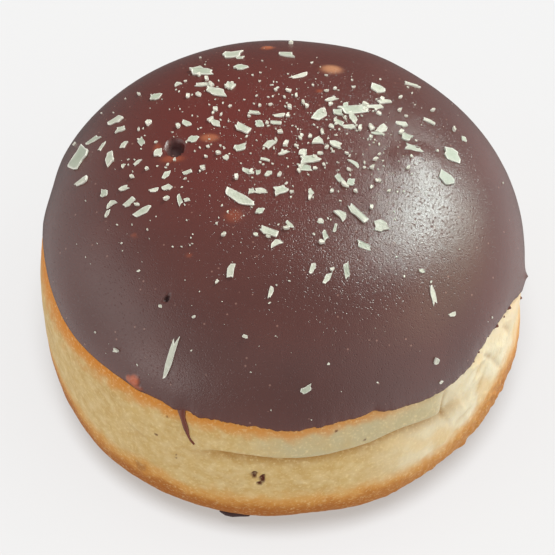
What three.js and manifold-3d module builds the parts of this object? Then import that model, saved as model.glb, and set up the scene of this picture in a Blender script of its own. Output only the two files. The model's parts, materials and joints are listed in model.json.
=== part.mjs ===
// A filled doughnut without a hole, dipped in chocolate.
// Two pieces: the fried bun, which carries everything, and the shell of chocolate over its dome.
// The largest of the pale flakes scattered on the chocolate are fused to it.
// Millimetres, +Z up, the side with the folded lip towards -Y, resting on the flat foot at z = 0.

import * as THREE from 'three';
import { mergeVertices } from 'three/addons/utils/BufferGeometryUtils.js';
import Module from 'manifold-3d';

const { degToRad, radToDeg, lerp, smoothstep } = THREE.MathUtils;

// Driving dimensions of the bun
const RADIUS = 45; // half of its width
const EQUATOR = 22; // height of the widest line
// From the widest line up to the crown, and down to where the belly would end without its foot.
// The fullness is the exponent of the section: 2 is an ellipse, more is boxier.
const CROWN = { rise: 34.3, fullness: 3.1 };
const BELLY = { rise: 22.6, fullness: 3.3 };
const FOOT_BLEND = 4; // height over which the unevenness dies out towards the foot
const AXIS_X = -0.18; // the bun's axis, set so that the middle of its widest outline is at x = y = 0
const AXIS_Y = 0.03;

// Chocolate shell
const GLAZE_GAP = 0.3; // clearance between the dough and the shell
const GLAZE_THICK = 0.8;
const GLAZE_SINK = 0.25; // how far the dough is pressed in under the shell
const GLAZE_LIP = 0.45; // thickness at the very edge, before it rounds up
const GLAZE_BEAD = 0.1; // extra thickness of the bead behind the edge
const BEAD_ROWS = [[0, GLAZE_LIP], [0.5, GLAZE_THICK - 0.1], [1.7, GLAZE_THICK + GLAZE_BEAD]];

// Heights that change round the bun, as [bearing in degrees, millimetres]; the front is at -90
const GLAZE_EDGE = [
  [-180, 37.6], [-160, 38.4], [-147, 38.0], [-131, 38.6], [-118, 38.7], [-113, 38.1], [-101, 38.6],
  [-87, 37.9], [-71, 38.8], [-60, 37.7], [-50, 36.6], [-42, 37.0], [-32, 38.7], [-20, 37.7],
  [-9, 34.6], [2, 36.4], [25, 37.8], [60, 37.2], [100, 38.1], [140, 37.4],
];
const CREASE_HEIGHT = [
  [-180, 28.2], [-150, 27.6], [-125, 28.0], [-114, 27.7], [-104, 30.0], [-98, 30.5], [-85, 30.1],
  [-70, 31.0], [-61, 31.8], [-50, 29.7], [-38, 29.0], [-10, 29.4], [40, 28.4], [90, 29.2], [140, 28.3],
];
const CREASE_DEPTH = [
  [-180, 0.7], [-150, 0.4], [-125, 0.7], [-114, 1.1], [-104, 2.0], [-85, 2.3], [-65, 2.3], [-54, 1.8],
  [-46, 0.7], [-35, 0.3], [-10, 0.6], [40, 1.0], [90, 1.4], [140, 1.0],
];
const CREASE_FADE = 3.2; // how far below the fold the dough is still drawn in
const CREASE_RETURN = 1.1; // how far above the fold the lip has come out again
const LIP_SWELL = 0.25; // how much the lip stands proud, as a share of the fold's depth
const LIP_DROOP = 0.3; // how far the lip hangs over the fold, as a share of its depth

// Swellings and dents: bearing, height, spread sideways, spread upwards and how far the dough stands out
const LUMPS = [
  { bearing: -15, height: 21, wide: 10, tall: 7, out: 0.6 },
  { bearing: -4, height: 27, wide: 8, tall: 5, out: -0.8 },
  { bearing: -6, height: 33, wide: 12, tall: 3.5, out: -0.4 },
  { bearing: -130, height: 9, wide: 15, tall: 6, out: 0.5 },
  { bearing: -167, height: 19, wide: 14, tall: 8, out: -0.6 },
  { bearing: 176, height: 32, wide: 13, tall: 4.5, out: -0.35 },
  { bearing: 171, height: 39.5, wide: 6, tall: 4, out: -0.6 },
  { bearing: -80, height: 8, wide: 7, tall: 5, out: -0.4 },
  { bearing: -47, height: 10, wide: 6, tall: 5, out: -0.3 },
  { bearing: 66, height: 48, wide: 8, tall: 8, out: 0.4 },
  { bearing: -47.5, height: 31, wide: 1.6, tall: 3.2, out: -1.3 },
  { bearing: -41, height: 29.5, wide: 3.4, tall: 2, out: -0.6 },
  { bearing: -35, height: 33, wide: 3, tall: 2.2, out: -0.5 },
  { bearing: -38, height: 35.5, wide: 4, tall: 1.4, out: 0.4 },
  { bearing: 62, height: 20, wide: 15, tall: 8, out: 0.3 },
  { bearing: 120, height: 25, wide: 12, tall: 6, out: -0.35 },
];

// Chocolate that ran below the edge: start, end, width and thickness
const RUNS = [
  { from: -114.5, to: -108.8, below: 7.9, wide: 1.3, thick: 0.7 },
  { from: -9.5, to: -7.5, below: 1.3, wide: 3.6, thick: 0.9 },
];

// Bubble that burst in the chocolate, cut as a shallow bowl
const BUBBLE = { x: -19.7, y: 4.4, radius: 1.9, depth: 0.6 };

// Largest flakes, as [x, y, length, width, heading in degrees], by where they lie on the dome
const LEFT_FLAKES = [
  [-37.2, 7.6, 4.6, 4.0, -41], [-30.7, 14.2, 3.4, 2.4, 32], [-34.9, 10.7, 3.8, 2.0, 5],
  [-31.2, 3.7, 3.2, 1.8, -80], [-36.2, 0.6, 3.0, 2.0, 8], [-23.6, 18.5, 2.4, 2.1, 35],
  [-24.5, -9.6, 3.3, 1.3, 31], [-29.7, 11.0, 2.0, 1.8, -9], [-22.0, 3.2, 2.4, 1.6, 85],
];
const FAR_FLAKES = [
  [-10.1, 30.4, 4.2, 2.8, 5], [-15.6, 24.7, 5.1, 2.4, -18], [-0.1, 29.8, 3.8, 2.2, -14],
  [-12.4, 18.0, 3.9, 2.0, -22], [2.4, 22.7, 3.7, 1.3, 26], [-8.3, 25.2, 2.7, 1.7, 5],
  [16.8, 20.7, 2.7, 2.0, -18], [23.2, 24.7, 3.4, 1.4, 4], [-14.9, 20.4, 3.8, 1.1, -7],
];
const CROWN_FLAKES = [
  [12.9, 14.3, 6.6, 2.3, 19], [6.3, 12.4, 3.4, 2.3, 61], [4.5, 1.3, 4.0, 2.1, 8],
  [-7.8, 8.5, 3.3, 1.9, -33], [-2.6, 4.8, 3.0, 1.9, 54], [12.0, 11.8, 2.6, 1.8, -58],
  [9.1, 5.1, 2.3, 1.9, -16], [6.0, 5.8, 2.3, 1.9, 8], [-7.9, 3.9, 2.5, 1.7, 21],
];
const RIGHT_FLAKES = [
  [30.0, 6.3, 3.8, 3.0, -35], [28.9, 0.2, 3.2, 2.8, -22], [23.0, 5.8, 3.8, 2.0, -8],
  [17.2, -12.7, 2.7, 2.5, 7], [12.7, -10.2, 4.9, 1.7, -46], [26.2, 14.0, 2.9, 1.6, -11],
  [26.3, -23.6, 3.5, 1.2, -44],
];
const FRONT_FLAKES = [
  [-7.6, -7.8, 5.8, 2.1, -32], [-0.5, -5.9, 2.7, 2.3, 15], [-3.9, -6.2, 2.6, 1.5, -2],
  [-2.0, -15.2, 3.8, 1.8, -13], [-8.7, -22.7, 3.2, 1.6, 87], [-18.7, -35.4, 7.6, 1.4, 65],
  [4.6, -40.6, 2.4, 1.2, 48], [11.2, -22.0, 3.4, 1.0, -80],
];
const FLAKES = [...LEFT_FLAKES, ...FAR_FLAKES, ...CROWN_FLAKES, ...RIGHT_FLAKES, ...FRONT_FLAKES];
const FLAKE_THICK = 0.95;
const FLAKE_SUNK = 0.32; // how deep a flake sits in the chocolate
const FLAKE_ROUGHNESS = 0.13; // how far its corners wander, as a share of its size
const FLAKE_SEED = 7;

// Fineness of the surfaces
const BEARINGS = 60;
const FOOT_ROWS = [0, 0.5, 1.3, 2.8, 5, 8, 12, 16, 20.5];
const CREASE_ROWS = [-5.8, -3.2, -1.5, -0.5, 0, 0.5, 1.1, 2, 3.4];
const DOME_ROWS = 13;
const RUN_ROWS = 9;

// Colours
const DOUGH_COLOUR = '#cbb17c';
const CHOCOLATE_COLOUR = '#5b3f3b';

// Smooth curve round the bun through [bearing, value] pairs
function roundTheBun(pairs) {
  const at = (i) => pairs[(i + pairs.length) % pairs.length];
  const bearingAt = (i) => at(i)[0] + 360 * Math.floor(i / pairs.length);
  const slope = (i) => (at(i + 1)[1] - at(i - 1)[1]) / (bearingAt(i + 1) - bearingAt(i - 1));
  return (bearing) => {
    const b = pairs[0][0] + THREE.MathUtils.euclideanModulo(bearing - pairs[0][0], 360);
    let i = pairs.length - 1;
    while (bearingAt(i) > b) i -= 1;
    const span = bearingAt(i + 1) - bearingAt(i);
    const t = (b - bearingAt(i)) / span;
    const rise = (1 - t) ** 2 * t * slope(i) * span - (1 - t) * t ** 2 * slope(i + 1) * span;
    return lerp(at(i)[1], at(i + 1)[1], t * t * (3 - 2 * t)) + rise;
  };
}

const glazeEdge = roundTheBun(GLAZE_EDGE);
const creaseHeight = roundTheBun(CREASE_HEIGHT);
const creaseDepth = roundTheBun(CREASE_DEPTH);

// Section of the smooth bun, climb being the angle above its widest line
function section(climb) {
  const { rise, fullness } = climb >= 0 ? CROWN : BELLY;
  const c = Math.cos(climb) / RADIUS;
  const s = Math.abs(Math.sin(climb)) / rise;
  const reach = (c ** fullness + s ** fullness) ** (-1 / fullness);
  const normal = new THREE.Vector2(
    (reach * c) ** (fullness - 1) / RADIUS,
    Math.sign(climb) * (reach * s) ** (fullness - 1) / rise,
  ).normalize();
  return { out: reach * Math.cos(climb), up: reach * Math.sin(climb), reach, normal };
}

function climbOfHeight(height) {
  const up = height - EQUATOR;
  const { rise, fullness } = up >= 0 ? CROWN : BELLY;
  const out = RADIUS * (1 - (Math.abs(up) / rise) ** fullness) ** (1 / fullness);
  return Math.atan2(up, out);
}

// Distance along the skin between two bearings
function sideways(bearing, other) {
  const turn = THREE.MathUtils.euclideanModulo(bearing - other + 180, 360) - 180;
  return degToRad(turn) * RADIUS;
}

function lumpsAt(bearing, height) {
  let out = 0;
  for (const lump of LUMPS) {
    const across = sideways(bearing, lump.bearing) / lump.wide;
    const up = (height - lump.height) / lump.tall;
    out += lump.out * Math.exp(-across * across - up * up);
  }
  return out;
}

// How far the fold draws the dough in, and how far its lip droops
function creaseAt(bearing, height) {
  const depth = creaseDepth(bearing);
  const above = height - creaseHeight(bearing);
  if (above <= 0) return { out: -depth * Math.exp(above / CREASE_FADE), droop: 0 };
  const t = (above / CREASE_RETURN) ** 2;
  const swell = LIP_SWELL * depth * t * Math.exp(1 - t / 2) / 2;
  return { out: swell - depth * Math.exp(-t), droop: LIP_DROOP * depth * 2 * t * Math.exp(-t) };
}

// Point at a bearing and climb, standing off the dough by a distance
function skinPoint(bearing, climb, stand = 0) {
  const { out, up, normal } = section(climb);
  const height = EQUATOR + up;
  const crease = creaseAt(bearing, height);
  const ease = smoothstep(height, 0, FOOT_BLEND);
  const pressed = GLAZE_SINK * smoothstep(height - glazeEdge(bearing), -0.5, 2);
  const relief = ease * (lumpsAt(bearing, height) + crease.out) - pressed + stand;
  const reach = out + normal.x * relief;
  const angle = degToRad(bearing);
  const z = height + normal.y * relief - crease.droop * ease;
  return new THREE.Vector3(AXIS_X + reach * Math.cos(angle), AXIS_Y + reach * Math.sin(angle), z);
}

function ring(pointAt) {
  return Array.from({ length: BEARINGS }, (_, i) => pointAt(-180 + (360 * i) / BEARINGS));
}

// Closed surface through rings of points, with a single point at either end
function shell(start, rings, end) {
  const count = rings[0].length;
  const points = [start, ...rings.flat(), end];
  const last = points.length - 1;
  const index = [];
  for (let side = 0; side < count; side += 1) {
    const next = (side + 1) % count;
    index.push(0, 1 + next, 1 + side);
    for (let row = 0; row < rings.length - 1; row += 1) {
      const low = 1 + row * count;
      const high = low + count;
      index.push(low + side, low + next, high + next, low + side, high + next, high + side);
    }
    const top = last - count;
    index.push(last, top + side, top + next);
  }
  const geometry = new THREE.BufferGeometry().setFromPoints(points);
  geometry.setIndex(index);
  return geometry;
}

// Climb of a row on the dome, counted from the chocolate's edge to the crown
function domeClimb(bearing, row) {
  return lerp(climbOfHeight(glazeEdge(bearing)), Math.PI / 2, row / DOME_ROWS);
}

function doughGeometry() {
  const heights = [
    ...FOOT_ROWS.map((height) => () => height),
    ...CREASE_ROWS.map((above) => (bearing) => creaseHeight(bearing) + above),
    (bearing) => glazeEdge(bearing) - 1,
  ];
  const side = heights.map((height) => ring((b) => skinPoint(b, climbOfHeight(height(b)))));
  const dome = Array.from({ length: DOME_ROWS }, (_, row) => ring((b) => skinPoint(b, domeClimb(b, row))));
  const foot = new THREE.Vector3(AXIS_X, AXIS_Y, 0);
  return shell(foot, [...side, ...dome], skinPoint(0, Math.PI / 2));
}

function glazeGeometry() {
  const outer = GLAZE_GAP + GLAZE_THICK;
  const rows = Array.from({ length: DOME_ROWS }, (_, row) => row);
  const inside = rows.map((row) => ring((b) => skinPoint(b, domeClimb(b, row), GLAZE_GAP))).reverse();
  const edge = BEAD_ROWS.map(([behind, thick]) => ring((b) => {
    const climb = domeClimb(b, 0);
    return skinPoint(b, climb + behind / section(climb).reach, GLAZE_GAP + thick);
  }));
  const outside = rows.slice(1).map((row) => ring((b) => skinPoint(b, domeClimb(b, row), outer)));
  const crown = Math.PI / 2;
  return shell(skinPoint(0, crown, GLAZE_GAP), [...inside, ...edge, ...outside], skinPoint(0, crown, outer));
}

// Run of chocolate: a tapering bead that lies along the dough from the edge downwards
function runGeometry({ from, to, below, wide, thick }) {
  const top = glazeEdge(from) + 1.2;
  const base = GLAZE_GAP;
  const rings = Array.from({ length: RUN_ROWS }, (_, row) => {
    const t = row / (RUN_ROWS - 1);
    const bearing = lerp(from, to, t ** 1.5);
    const climb = climbOfHeight(top - (below + 1.2) * t);
    const half = (wide / 2) * (1 - 0.75 * t);
    const high = thick * (1 - 0.45 * t);
    const profile = [[half, 0], [0.8 * half, 0.65 * high], [0, high], [-0.8 * half, 0.65 * high], [-half, 0]];
    return profile.map(([side, up]) => skinPoint(bearing + radToDeg(side / RADIUS), climb, base + up));
  });
  const middle = (points) => points.reduce((sum, p) => sum.add(p), new THREE.Vector3()).divideScalar(points.length);
  return shell(middle(rings[0]), rings, middle(rings.at(-1)));
}

// Seeded random numbers from 0 to 1
function randomSource(seed) {
  let state = seed;
  return () => {
    state = (state + 0x6d2b79f5) | 0;
    let mixed = Math.imul(state ^ (state >>> 15), state | 1);
    mixed ^= mixed + Math.imul(mixed ^ (mixed >>> 7), mixed | 61);
    return ((mixed ^ (mixed >>> 14)) >>> 0) / 4294967296;
  };
}

// Place on the chocolate above a plan position, as a matrix: X along the heading, Z out of the skin
function onGlaze(x, y, heading, stand) {
  const bearing = radToDeg(Math.atan2(y - AXIS_Y, x - AXIS_X));
  const plan = Math.hypot(x - AXIS_X, y - AXIS_Y);
  const surface = GLAZE_GAP + GLAZE_THICK;
  let low = 0;
  let high = Math.PI / 2;
  for (let step = 0; step < 30; step += 1) {
    const middle = (low + high) / 2;
    const { out, normal } = section(middle);
    if (out + normal.x * surface > plan) low = middle;
    else high = middle;
  }
  const { normal } = section(low);
  const angle = degToRad(bearing);
  const up = new THREE.Vector3(normal.x * Math.cos(angle), normal.x * Math.sin(angle), normal.y);
  const along = new THREE.Vector3(Math.cos(degToRad(heading)), Math.sin(degToRad(heading)), 0);
  along.addScaledVector(up, -along.dot(up)).normalize();
  const place = new THREE.Matrix4().makeBasis(along, up.clone().cross(along), up);
  return place.setPosition(skinPoint(bearing, low, surface + stand));
}

// Flake: a low prism with five or six uneven corners
function flakeGeometry([x, y, long, wide, heading], random) {
  const corners = random() < 0.5 ? 5 : 6;
  const raw = new THREE.CylinderGeometry(0.46, 0.54, 1, corners).rotateX(Math.PI / 2);
  raw.deleteAttribute('normal');
  raw.deleteAttribute('uv');
  const flake = mergeVertices(raw, 1e-4);
  const points = flake.getAttribute('position');
  for (let i = 0; i < points.count; i += 1) {
    const wander = () => FLAKE_ROUGHNESS * (2 * random() - 1);
    points.setXYZ(
      i,
      (points.getX(i) + wander()) * long,
      (points.getY(i) + wander()) * wide,
      (points.getZ(i) + wander()) * FLAKE_THICK,
    );
  }
  return flake.applyMatrix4(onGlaze(x, y, heading, FLAKE_THICK / 2 - FLAKE_SUNK));
}

function bubbleGeometry({ x, y, radius, depth }) {
  const raw = new THREE.SphereGeometry(radius, 12, 8);
  raw.deleteAttribute('normal');
  raw.deleteAttribute('uv');
  return mergeVertices(raw, 1e-4).applyMatrix4(onGlaze(x, y, 0, radius - depth));
}

const wasm = await Module();
wasm.setup();

function toSolid(geometry) {
  return new wasm.Manifold(new wasm.Mesh({
    numProp: 3,
    vertProperties: new Float32Array(geometry.getAttribute('position').array),
    triVerts: new Uint32Array(geometry.getIndex().array),
  }));
}

function toGeometry(solid) {
  const mesh = solid.getMesh();
  const geometry = new THREE.BufferGeometry();
  geometry.setAttribute('position', new THREE.BufferAttribute(new Float32Array(mesh.vertProperties), 3));
  geometry.setIndex(new THREE.BufferAttribute(new Uint32Array(mesh.triVerts), 1));
  return geometry;
}

function glazeWithFlakes() {
  const random = randomSource(FLAKE_SEED);
  let solid = toSolid(glazeGeometry());
  for (const run of RUNS) solid = solid.add(toSolid(runGeometry(run)));
  solid = solid.subtract(toSolid(bubbleGeometry(BUBBLE)));
  for (const flake of FLAKES) solid = solid.add(toSolid(flakeGeometry(flake, random)));
  return toGeometry(solid);
}

function named(name, geometry, colour, roughness) {
  geometry.computeVertexNormals();
  const mesh = new THREE.Mesh(geometry, new THREE.MeshStandardMaterial({ color: colour, roughness, metalness: 0 }));
  mesh.name = name;
  return mesh;
}

const doughnut = new THREE.Group();
doughnut.add(named('dough', doughGeometry(), DOUGH_COLOUR, 0.75));
doughnut.add(named('glaze', glazeWithFlakes(), CHOCOLATE_COLOUR, 0.38));

export default doughnut;
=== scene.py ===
"""A filled doughnut dipped in chocolate and scattered with pale flakes, standing on a plain pale floor.

The surfaces are worked out in millimetres from named sizes, as the solids are, then set in metres.
Bearings are degrees round the bun's axis, seen from above; the side with the folded lip is at -90.
"""

import json
import math

import bmesh
import bpy
import numpy as np
from mathutils import Matrix, Vector, noise

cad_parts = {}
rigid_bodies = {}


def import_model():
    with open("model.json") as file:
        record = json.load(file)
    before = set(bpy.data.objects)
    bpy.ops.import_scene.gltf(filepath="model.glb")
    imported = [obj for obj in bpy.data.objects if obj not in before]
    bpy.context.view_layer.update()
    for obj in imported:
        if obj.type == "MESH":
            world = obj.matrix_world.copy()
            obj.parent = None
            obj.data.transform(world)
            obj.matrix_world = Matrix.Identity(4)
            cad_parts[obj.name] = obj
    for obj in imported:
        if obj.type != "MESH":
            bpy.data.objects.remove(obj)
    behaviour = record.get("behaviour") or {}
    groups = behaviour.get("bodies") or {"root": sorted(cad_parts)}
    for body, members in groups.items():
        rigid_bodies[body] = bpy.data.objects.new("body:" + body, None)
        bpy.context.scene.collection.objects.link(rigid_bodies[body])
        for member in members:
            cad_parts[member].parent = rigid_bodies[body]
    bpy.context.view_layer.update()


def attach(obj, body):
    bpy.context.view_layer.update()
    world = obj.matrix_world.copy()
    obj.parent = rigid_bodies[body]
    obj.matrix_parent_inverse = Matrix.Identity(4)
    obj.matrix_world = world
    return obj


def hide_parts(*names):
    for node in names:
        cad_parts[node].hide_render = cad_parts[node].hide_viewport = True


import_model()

MM = 0.001
FULL_TURN = 360.0

# The bun
RADIUS = 45.0
EQUATOR = 22.0  # height of the widest line
CROWN_RISE, CROWN_FULLNESS = 34.3, 3.1  # above the widest line; a fullness of 2 is an ellipse
BELLY_DROP, BELLY_FULLNESS = 22.6, 3.3  # the same below it
FOOT_BLEND = 4.0  # height over which swellings and folds grow out of the flat foot
AXIS = (-0.18, 0.03)  # where the bun's axis stands beside the part's origin

# The fold under the lip, as bearing and height, and bearing and depth
CREASE_HEIGHT = [
    (-180, 28.2), (-150, 27.6), (-125, 28.0), (-114, 27.7), (-104, 30.0), (-98, 30.5), (-85, 30.1),
    (-70, 31.0), (-61, 31.8), (-50, 29.7), (-38, 29.0), (-10, 29.4), (40, 28.4), (90, 29.2), (140, 28.3),
]
CREASE_DEPTH = [
    (-180, 0.2), (-150, 0.05), (-130, 0.02), (-119, 0.05), (-109, 0.25), (-102, 1.3), (-96, 2.2),
    (-80, 2.4), (-65, 2.3), (-54, 1.7), (-47, 0.5), (-38, 0.1), (-10, 0.3), (40, 0.6), (90, 1.0),
    (140, 0.6),
]
CREASE_FADE = 3.2  # how far below the crease the dough comes back out
CREASE_RETURN = 1.1  # how far above it the lip comes back out
LIP_SWELL = 0.25  # how far the lip stands out, as a share of the crease's depth
LIP_DROOP = 0.3  # how far it hangs down, as a share too

LUMPS_END, LUMPS_FULL = 55.5, 48.0  # heights between which swellings and dents fade out under the crown
# Swellings and dents: bearing, height, spread sideways, spread upwards, how far the dough stands out
LUMPS = [
    (-14, 34, 5, 3.5, 0.7), (-15, 21, 10, 7, 0.6), (-4, 27, 8, 5, -0.8), (-6, 33, 12, 3.5, -0.4),
    (-130, 9, 15, 6, 0.5), (-167, 19, 14, 8, -0.6), (176, 32, 13, 4.5, -0.35), (171, 39.5, 6, 4, -0.6),
    (-80, 8, 7, 5, -0.4), (-47, 10, 6, 5, -0.3), (66, 48, 8, 8, 0.4), (-47.5, 31, 2.0, 3.2, -0.8),
    (-41, 29.5, 3.4, 2, -0.6), (-35, 33, 3, 2.2, -0.5), (-38, 35.5, 4, 1.4, 0.4), (62, 20, 15, 8, 0.3),
    (120, 25, 12, 6, -0.35),
]

# The chocolate's lower edge, as bearing and height
GLAZE_EDGE = [
    (-180, 39.3), (-170, 39.7), (-160, 39.1), (-147, 38.2), (-131, 38.6), (-118, 38.7), (-113, 38.1),
    (-101, 38.6), (-87, 37.9), (-71, 38.8), (-60, 37.7), (-50, 36.6), (-42, 37.0), (-32, 38.7),
    (-20, 37.7), (-9, 34.6), (2, 36.4), (25, 37.8), (60, 37.2), (100, 38.1), (140, 37.6), (163, 38.6),
]
GLAZE_STAND = 1.1  # how far the chocolate's face stands off the plain bun
GLAZE_SINK = 0.25  # how far the dough is pressed in under it
SINK_FROM, SINK_FULL = -0.5, 2.0  # heights above the edge between which the dough sinks in
EDGE_THIN = 0.28  # thickness of its very edge
EDGE_FADE = 1.2  # distance over which the edge swells to the full thickness

# Teeth of the ragged edge: how many in a full turn, seed, strength
EDGE_TEETH = [(190, 3, 1.0), (480, 4, 0.6)]
# Nicks in the chocolate's edge: bearing, spread sideways, rise
EDGE_NICKS = [(-111.2, 1.3, 0.7), (-67.5, 1.2, 0.55), (-95, 1.0, 0.35), (-124, 2.0, -0.3)]
# Height of the teeth round the bun
EDGE_RAGGED = [
    (-180, 0.05), (-130, 0.06), (-116, 0.12), (-108, 0.34), (-85, 0.36), (-72, 0.22), (-55, 0.2),
    (-40, 0.3), (-20, 0.28), (0, 0.15), (90, 0.12), (150, 0.1),
]

# Points round the surface: bearings between which they are closest, and how many lie there and elsewhere
FINE_FROM, FINE_TO = -128.0, -22.0
FINE_STEPS, COARSE_STEPS = 330, 230

# How strongly the dough is fried just under the chocolate, and how far down that reaches
GOLD_STRENGTH = [
    (-180, 1.0), (-140, 1.0), (-115, 0.9), (-95, 0.8), (-80, 0.75), (-68, 0.7), (-60, 0.3),
    (-50, 0.06), (-35, 0.06), (-20, 0.14), (10, 0.4), (60, 0.8), (120, 1.0),
]
GOLD_REACH = [
    (-180, 8.0), (-160, 6.0), (-145, 4.2), (-130, 3.2), (-112, 2.7), (-80, 2.2), (-60, 1.5), (-35, 1.5),
    (-20, 5.0), (60, 3.0), (120, 6.0),
]
# Height up to which the base is browned
BROWN_HEIGHT = [
    (-180, 20.5), (-145, 20.4), (-133, 19.0), (-121, 19.8), (-108, 19.2), (-94, 19.7), (-78, 20.1),
    (-61, 20.3), (-50, 20.4), (-40, 22.2), (-32, 24.2), (-27, 25.4), (-17, 26.0), (20, 21.0),
    (90, 19.5), (140, 20.0),
]


def table(pairs):
    """Smooth curve round the bun through (bearing, value) pairs."""
    bearing = np.array([b for b, _ in pairs], float)
    value = np.array([v for _, v in pairs], float)
    bearing = np.concatenate([bearing - FULL_TURN, bearing, bearing + FULL_TURN])
    value = np.tile(value, 3)
    slope = np.zeros_like(value)
    slope[1:-1] = (value[2:] - value[:-2]) / (bearing[2:] - bearing[:-2])

    def at(b):
        b = np.mod(np.asarray(b, float) + 180, FULL_TURN) - 180
        i = np.clip(np.searchsorted(bearing, b, side="right") - 1, 0, len(bearing) - 2)
        span = bearing[i + 1] - bearing[i]
        t = (b - bearing[i]) / span
        rise = (1 - t) ** 2 * t * slope[i] * span - (1 - t) * t**2 * slope[i + 1] * span
        blend = t * t * (3 - 2 * t)
        return value[i] * (1 - blend) + value[i + 1] * blend + rise

    return at


crease_height = table(CREASE_HEIGHT)
crease_depth = table(CREASE_DEPTH)
plain_edge = table(GLAZE_EDGE)
edge_ragged = table(EDGE_RAGGED)
gold_strength = table(GOLD_STRENGTH)
gold_reach = table(GOLD_REACH)
brown_height = table(BROWN_HEIGHT)


def smooth(x, low, high):
    """Soft step from 0 at low to 1 at high; low may also be the greater of the two."""
    t = np.clip((x - low) / (high - low), 0, 1)
    return t * t * (3 - 2 * t)


def sideways(bearing, other):
    """Distance along the skin between two bearings, in millimetres."""
    return np.radians(np.mod(bearing - other + 180, FULL_TURN) - 180) * RADIUS


def mottle(points, grain, seed):
    """Uneven values from about -1 to 1, in patches of one size in millimetres."""
    flat = (points / grain + np.array([seed * 17.3, seed * 5.1, seed * 29.7])).reshape(-1, 3)
    values = [noise.noise(p) for p in flat.tolist()]
    return np.array(values).reshape(points.shape[:-1])


def unevenness(points, swells):
    """How far fine swellings stand out, each given by its grain, seed and height."""
    return sum(high * mottle(points, grain, seed) for grain, seed, high in swells)


def round_the_edge(bearing, waves, seed):
    """Uneven values round the bun, with so many waves in a full turn."""
    angle = np.radians(bearing)
    reach = waves / (2 * math.pi)
    points = np.stack([np.cos(angle) * reach, np.sin(angle) * reach, np.full_like(angle, 0.3)], -1)
    return mottle(points, 1.0, seed)


def edge_height(bearing):
    """Height of the chocolate's edge with its ragged teeth and nicks."""
    teeth = sum(strength * round_the_edge(bearing, waves, seed) for waves, seed, strength in EDGE_TEETH)
    height = plain_edge(bearing) + edge_ragged(bearing) * teeth
    for nick, wide, rise in EDGE_NICKS:
        height = height + rise * np.exp(-((sideways(bearing, nick) / wide) ** 2))
    return height


def section(climb):
    """Plain bun's section at an angle above its widest line: out, up, outward direction, reach."""
    upper = climb >= 0
    rise = np.where(upper, CROWN_RISE, BELLY_DROP)
    full = np.where(upper, CROWN_FULLNESS, BELLY_FULLNESS)
    c = np.maximum(np.cos(climb), 0) / RADIUS
    s = np.abs(np.sin(climb)) / rise
    reach = (c**full + s**full) ** (-1 / full)
    across = (reach * c) ** (full - 1) / RADIUS
    above = np.sign(climb) * (reach * s) ** (full - 1) / rise
    size = np.hypot(across, above)
    return reach * np.cos(climb), reach * np.sin(climb), across / size, above / size, reach


def climb_of_height(height):
    """Angle above the bun's widest line at which its plain section reaches a height."""
    up = height - EQUATOR
    upper = up >= 0
    rise = np.where(upper, CROWN_RISE, BELLY_DROP)
    full = np.where(upper, CROWN_FULLNESS, BELLY_FULLNESS)
    out = RADIUS * (1 - np.minimum(np.abs(up) / rise, 1) ** full) ** (1 / full)
    return np.arctan2(up, out)


def swellings(bearing, height, places):
    """Sum of soft swellings and dents given by bearing, height, two spreads and how far they stand out."""
    total = np.zeros_like(height)
    for at, up, wide, tall, out in places:
        total += out * np.exp(-((sideways(bearing, at) / wide) ** 2) - ((height - up) / tall) ** 2)
    return total


def skin(bearing, climb, stand=0.0):
    """Points on the bun and their outward directions, standing off the dough by a distance."""
    out, up, across, above, _ = section(climb)
    height = EQUATOR + up
    over = height - crease_height(bearing)
    depth = crease_depth(bearing)
    t = (over / CREASE_RETURN) ** 2
    fold = np.where(
        over <= 0,
        -depth * np.exp(np.minimum(over, 0) / CREASE_FADE),
        LIP_SWELL * depth * t * np.exp(1 - t / 2) / 2 - depth * np.exp(-t),
    )
    droop = np.where(over <= 0, 0, LIP_DROOP * depth * 2 * t * np.exp(-t))
    lumps = swellings(bearing, height, LUMPS) * smooth(height, LUMPS_END, LUMPS_FULL)
    ease = smooth(height, 0, FOOT_BLEND)
    pressed = GLAZE_SINK * smooth(height - plain_edge(bearing), SINK_FROM, SINK_FULL)
    relief = ease * (lumps + fold) - pressed + stand
    angle = np.radians(bearing)
    reach = out + across * relief
    x = AXIS[0] + reach * np.cos(angle)
    y = AXIS[1] + reach * np.sin(angle)
    points = np.stack([x, y, height + above * relief - droop * ease], -1)
    outward = np.stack([across * np.cos(angle), across * np.sin(angle), above + 0 * angle], -1)
    return points, outward


def bearing_steps():
    """Bearings of the surface points, closest together round the front."""
    fine = np.linspace(FINE_FROM, FINE_TO, FINE_STEPS, endpoint=False)
    coarse = np.linspace(FINE_TO, FINE_FROM + FULL_TURN, COARSE_STEPS, endpoint=False)
    return np.concatenate([fine, coarse])


def spread(low, high, count, power=1.0):
    """Rows of values from one curve towards another, without the last."""
    return low + (high - low) * np.linspace(0, 1, count, endpoint=False)[:, None] ** power


def grid_mesh(name, start, rows, end, values):
    """Closed mesh through rings of points with a single point at either end, with point attributes."""
    count = rows.shape[1]
    points = np.vstack([start[None], rows.reshape(-1, 3), end[None]]) * MM
    last = len(points) - 1
    side = np.arange(count)
    beside = (side + 1) % count
    faces = [(0, 1 + b, 1 + a) for a, b in zip(side.tolist(), beside.tolist())]
    low = 1 + np.arange(len(rows) - 1)[:, None] * count
    quads = np.stack([low + side, low + beside, low + count + beside, low + count + side], -1)
    faces += quads.reshape(-1, 4).tolist()
    top = last - count
    faces += [(last, top + a, top + b) for a, b in zip(side.tolist(), beside.tolist())]
    mesh = bpy.data.meshes.new(name)
    mesh.from_pydata(points.tolist(), [], faces)
    mesh.shade_smooth()
    for key, value in values.items():
        padded = np.concatenate([value[0, :1], value.reshape(-1), value[-1, :1]])
        mesh.attributes.new(key, "FLOAT", "POINT").data.foreach_set("value", padded.astype(np.float32))
    return mesh


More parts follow.
